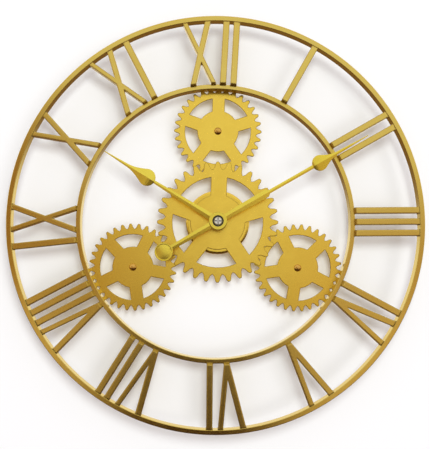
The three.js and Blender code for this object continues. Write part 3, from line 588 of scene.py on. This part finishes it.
def blade(shape, stations):
    """Adds a folded sheet along the hand, from its half widths at distances from the hub."""
    rings = []
    for along, half in stations:
        ridge = half * FOLD_RISE
        section = [(-half, 0), (0, ridge), (half, 0)]
        section += [(half, HAND_SHEET), (0, ridge + HAND_SHEET), (-half, HAND_SHEET)]
        ring = []
        for across, rise in section:
            x, z = along_hand(along, across)
            ring.append(shape.verts.new((x, -hand_back - rise, z)))
        rings.append(ring)
    for first, second in zip(rings, rings[1:]):
        for i in range(len(first)):
            j = (i + 1) % len(first)
            shape.faces.new((first[i], first[j], second[j], second[i]))
    for ring in (rings[0], rings[-1]):
        shape.faces.new((ring[0], ring[1], ring[4], ring[5]))
        shape.faces.new((ring[1], ring[2], ring[3], ring[4]))


def teardrop(centre, radius, stem, reach, neck):
    """Half widths of the bulb: round towards the hub, drawn out to a needle beyond."""
    stations = []
    first, last = math.pi - math.asin(stem / radius), math.pi / 3
    for i in range(BULB_STEPS + 1):
        angle = first + (last - first) * i / BULB_STEPS
        stations.append((centre + radius * math.cos(angle), radius * math.sin(angle)))
    start, widest = stations[-1]
    for i in range(1, BULB_STEPS + 1):
        share = i / BULB_STEPS
        half = neck + (widest - neck) * (1 - share) ** BULB_TAPER
        stations.append((start + (centre + reach - start) * share, half))
    return stations


def raised(profile):
    """A profile whose heights are counted from the hand's back."""
    return [(radius, hand_back + height) for radius, height in profile]


minute_hand = bmesh.new()
blade(minute_hand, [*STEM_STATIONS, *teardrop(**BULB), TIP_STATION])
blade(minute_hand, [(COIN_ALONG + COIN_RADIUS / 2, TAIL_END_HALF), (-HAND_ROOT, TAIL_ROOT_HALF)])
turned(minute_hand, raised([
    (BORE_RADIUS, 0),
    (COLLAR_RADIUS, 0),
    (COLLAR_RADIUS, COLLAR_HEIGHT - COLLAR_EDGE),
    (COLLAR_RADIUS - COLLAR_EDGE, COLLAR_HEIGHT),
    (RECESS_RADIUS, COLLAR_HEIGHT),
    (RECESS_RADIUS, RECESS_FLOOR),
    (BORE_RADIUS, RECESS_FLOOR),
]), hub, HAND_SIDES)
turned(minute_hand, raised([
    (0, 0),
    (COIN_RADIUS, 0),
    (COIN_RADIUS, COIN_SHEET - COIN_EDGE),
    (COIN_RADIUS - COIN_EDGE, COIN_SHEET),
    (COIN_RADIUS - COIN_RIM, COIN_SHEET),
    *COIN_FIELD,
]), along_hand(COIN_ALONG), HAND_SIDES)
hand_mesh = meshed("minute_hand_sheet", minute_hand, FOLD_SHARP)
fitted("minute_hand_sheet", hand_mesh, hand_gold, "minute_arbor", ["minute_hand"])


# The hand nut: turned steel, nickel-plated, with crossed slots for the fitter's key. It holds the
# minute hand on the shaft's thread.
nickel = bare_steel("nickel", tint(226, 222, 210), 0.2, (1, 1, 1))
coated(nickel, "hand_nut")


# The recess shade ring: a thin black ring in the collar's recess round the nut, put there as
# painted shade that makes the recess read dark.
SHADE_RING_RADIUS = 0.0079
SHADE_RING_SHEET = 0.0004
SHADE_RING_PLAY = 0.0001
SHADE_RING_SIDES = 48
shade_ring_inside = nut_radius + SHADE_RING_PLAY
seat = -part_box("hand_nut")[1].y
shade_ring = bmesh.new()
turned(shade_ring, [
    (shade_ring_inside, seat),
    (SHADE_RING_RADIUS, seat),
    (SHADE_RING_RADIUS, seat + SHADE_RING_SHEET),
    (shade_ring_inside, seat + SHADE_RING_SHEET),
], hub, SHADE_RING_SIDES)
shade_ring_mesh = meshed("recess_shade_ring", shade_ring)
# It takes the gasket's black finish as painted shade.
fitted("recess_shade_ring", shade_ring_mesh, gasket_and_shade_black, "minute_arbor")


# The room: a white wall that the clock hangs on and a pale floor below it. The wall is clear from
# behind, so that the back of the clock can be looked at.
def backdrop(name, corners):
    """A plain pale sheet of the room, which throws no light or shade on the clock."""
    mesh = bpy.data.meshes.new(name)
    mesh.from_pydata(corners, [], [(0, 1, 2, 3)])
    sheet = bpy.data.objects.new(name, mesh)
    bpy.context.scene.collection.objects.link(sheet)
    paint = Finish(name)
    matt = paint.node("ShaderNodeBsdfDiffuse", None, {"Color": (0.9, 0.9, 0.9)})
    clear = paint.node("ShaderNodeBsdfTransparent")
    behind = paint.node("ShaderNodeNewGeometry", output="Backfacing")
    shown = paint.node("ShaderNodeMixShader", None, [behind, matt, clear])
    paint.node("ShaderNodeOutputMaterial", None, {"Surface": shown})
    mesh.materials.append(paint.material)
    sheet.visible_shadow = False
    sheet.visible_diffuse = False
    sheet.visible_glossy = False


WALL = 0.0004
FLOOR = -1.5
TOP = 5
SIDE = 6
NEAR = -8
FAR = 6
backdrop("wall", [(-SIDE, WALL, FLOOR), (SIDE, WALL, FLOOR), (SIDE, WALL, TOP), (-SIDE, WALL, TOP)])
near_edge = [(-SIDE, NEAR, FLOOR), (SIDE, NEAR, FLOOR)]
backdrop("floor", [*near_edge, (SIDE, FAR, FLOOR), (-SIDE, FAR, FLOOR)])


# The light: a round lamp in front, above the dial and a little to the right, throws the shadows.
# A wide window on the right softens them and another lights the back. The gold mirrors a room that
# is bright above and dark below.
def soft_light(name, kind, energy):
    """A soft light that metal does not mirror as a hot spot."""
    light = bpy.data.lights.new(name, kind)
    light.energy = energy
    lamp = bpy.data.objects.new(name, light)
    lamp.visible_glossy = False
    bpy.context.scene.collection.objects.link(lamp)
    return lamp


class Glow(Finish):
    """The light of a lamp or of the whole room, put together in its node tree."""

    def __init__(self, source):
        source.use_nodes = True
        self.tree = source.node_tree
        self.tree.nodes.clear()

    def ramp(self, value, low, high):
        """0 below low, 1 above high and smooth between them; falling where low is the greater."""
        span = {"Value": value, "From Min": low, "From Max": high}
        return self.node("ShaderNodeMapRange", {"interpolation_type": "SMOOTHSTEP"}, span)


near = soft_light("near_lamp", "POINT", 1)
near.location = (0.1, -1.2, 0.26)
near.data.shadow_soft_size = 0.25
even = Glow(near.data)
steady = even.node("ShaderNodeLightFalloff", None, {"Strength": 18, "Smooth": 0}, "Constant")
shine = even.node("ShaderNodeEmission", None, {"Color": (0.93, 1, 0.99), "Strength": steady})
even.node("ShaderNodeOutputLight", None, {"Surface": shine})
for name, energy, spread, towards in (
    ("side_window", 0.5, 26, (0.62, -1, -0.15)),
    ("back_window", 0.8, 40, (0.3, 1, 0.5)),
):
    lamp = soft_light(name, "SUN", energy)
    lamp.data.angle = math.radians(spread)
    lamp.rotation_euler = Vector(towards).to_track_quat("Z", "Y").to_euler()

world = bpy.data.worlds.new("room")
bpy.context.scene.world = world
room = Glow(world)
heading = room.node("ShaderNodeTexCoord", output="Generated")
across, depth, height = [
    room.node("ShaderNodeSeparateXYZ", None, [heading], part) for part in ("X", "Y", "Z")
]

# The part of the room in front of the dial is laid out by slopes, to the side and up, for each
# metre ahead: white in the middle and above, tan walls on both sides, a dark doorway below.
ahead = 0.001 - depth
side, rise = across / ahead, height / ahead
high = room.ramp(rise, 0.0, 0.19)
middle = room.ramp(side, -0.24, -0.04) * room.ramp(side, 0.24, 0.1)
middle = middle * room.ramp(rise, -0.13, -0.02)
left = room.ramp(rise + side * 1.4, 0.0, -0.28) * room.ramp(rise, -0.11, -0.01)
right = room.ramp(side, 0.14, 0.25) * room.ramp(rise, 0.14, 0.03) * room.ramp(rise, -0.12, -0.05)
doorway = room.ramp(side, -0.27, -0.13) * room.ramp(side, 0.22, 0.07)
doorway = doorway * room.ramp(rise, -0.065, -0.12)
ahead_tone = room.mix((high + middle).limited(), (0.86, 0.69, 0.54), (1, 1, 1))
ahead_tone = room.mix(left * 0.95, ahead_tone, (0.37, 0.175, 0.05))
ahead_tone = room.mix(right * 0.6, ahead_tone, (0.44, 0.23, 0.09))
ahead_tone = room.mix(doorway, ahead_tone, (0.035, 0.004, 0.004))
ahead_tone = room.mix(room.ramp(rise, -0.37, -0.52), ahead_tone, (0.05, 0.022, 0.006))

# Beside the clock and behind it, a brown floor rises into a bright upper half.
BRIGHT = (1.15, 1.1, 1.0)
beside = room.mix(room.ramp(height, -0.36, 0.12), (0.06, 0.028, 0.008), BRIGHT)
behind = room.mix(room.ramp(height + across * 0.15, -0.1, 0.07), (0.25, 0.15, 0.07), BRIGHT)
around = room.mix(room.ramp(depth, 0.0, 0.4), beside, behind)
mirrored = room.mix(room.ramp(depth, -0.7, -0.86), around, ahead_tone)

# What lights the matt wall is one even tone, and the camera sees white.
scattered = room.node("ShaderNodeLightPath", output="Diffuse Depth") > 0.5
plain = (scattered + room.node("ShaderNodeLightPath", output="Is Shadow Ray")).limited()
seen = room.node("ShaderNodeLightPath", output="Is Camera Ray")
lit = room.mix(plain, mirrored, (0.63, 0.585, 0.6))
lit = room.mix(seen, lit, (1, 1, 1))
sky = room.node("ShaderNodeBackground", None, {"Color": lit, "Strength": 1})
room.node("ShaderNodeOutputWorld", None, {"Surface": sky})


# The camera stands a little below the middle of the dial, square to the wall.
scene = bpy.context.scene
lens = bpy.data.cameras.new("camera")
lens.sensor_width = 36
lens.lens = 44.85
lens.shift_x = 0.0204
lens.shift_y = 0.0760
lens.clip_start = 0.01
camera = bpy.data.objects.new("camera", lens)
camera.location = (-0.0173, -0.843, -0.115)
camera.rotation_euler = (math.radians(90), 0, 0)
scene.collection.objects.link(camera)
scene.camera = camera
scene.view_settings.view_transform = "Standard"
